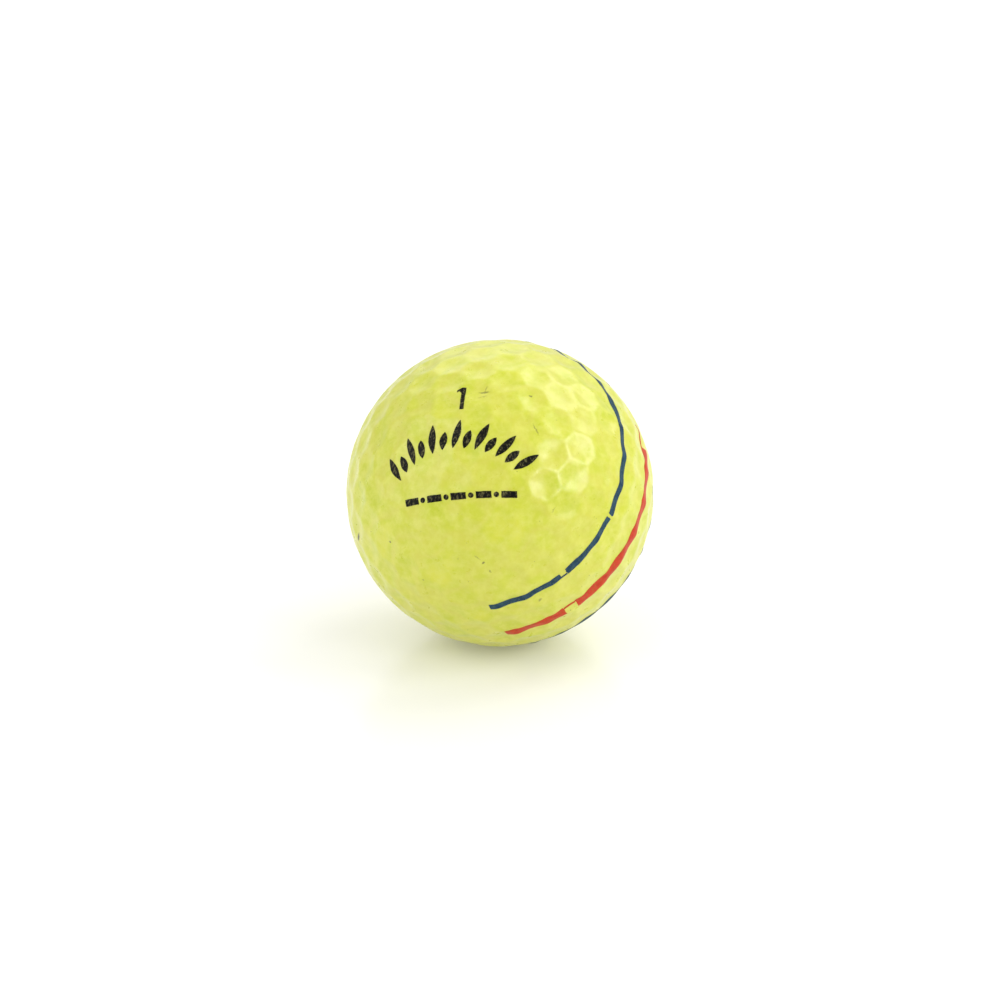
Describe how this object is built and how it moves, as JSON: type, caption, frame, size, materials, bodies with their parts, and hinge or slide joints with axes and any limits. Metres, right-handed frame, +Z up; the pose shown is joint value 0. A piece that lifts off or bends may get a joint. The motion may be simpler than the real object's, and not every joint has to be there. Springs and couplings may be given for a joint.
{
  "type": "golf ball",
  "caption": "Yellow dimpled golf ball with a solid core, a mantle, a tough cover, a printed play number and three alignment stripes.",
  "frame": {"origin": "centre of the ball", "axes": "+Z up, -Y towards the viewer; the ball lies as it rests on a table, with its print pole turned up and to the front left"},
  "size_m": [0.0426, 0.0426, 0.0426],
  "materials": {
    "cover_ionomer": "glossy clear-coated translucent yellow ionomer",
    "mantle_resin": "plain moulded off-white resin",
    "core_rubber": "matte cured polybutadiene rubber",
    "black_ink": "black pad-printed ink under clear coat",
    "red_ink": "red printed ink under clear coat",
    "blue_ink": "slate blue printed ink under clear coat"
  },
  "bodies": {
    "root": {"core": "core_rubber", "mantle": "mantle_resin", "cover": "cover_ionomer", "front_number": "black_ink", "front_arch_mark": "black_ink", "front_dash_row": "black_ink", "back_number": "black_ink", "back_arch_mark": "black_ink", "back_dash_row": "black_ink", "centre_stripe": "red_ink", "upper_stripe": "blue_ink", "lower_stripe": "blue_ink"}
  },
  "joints": []
}
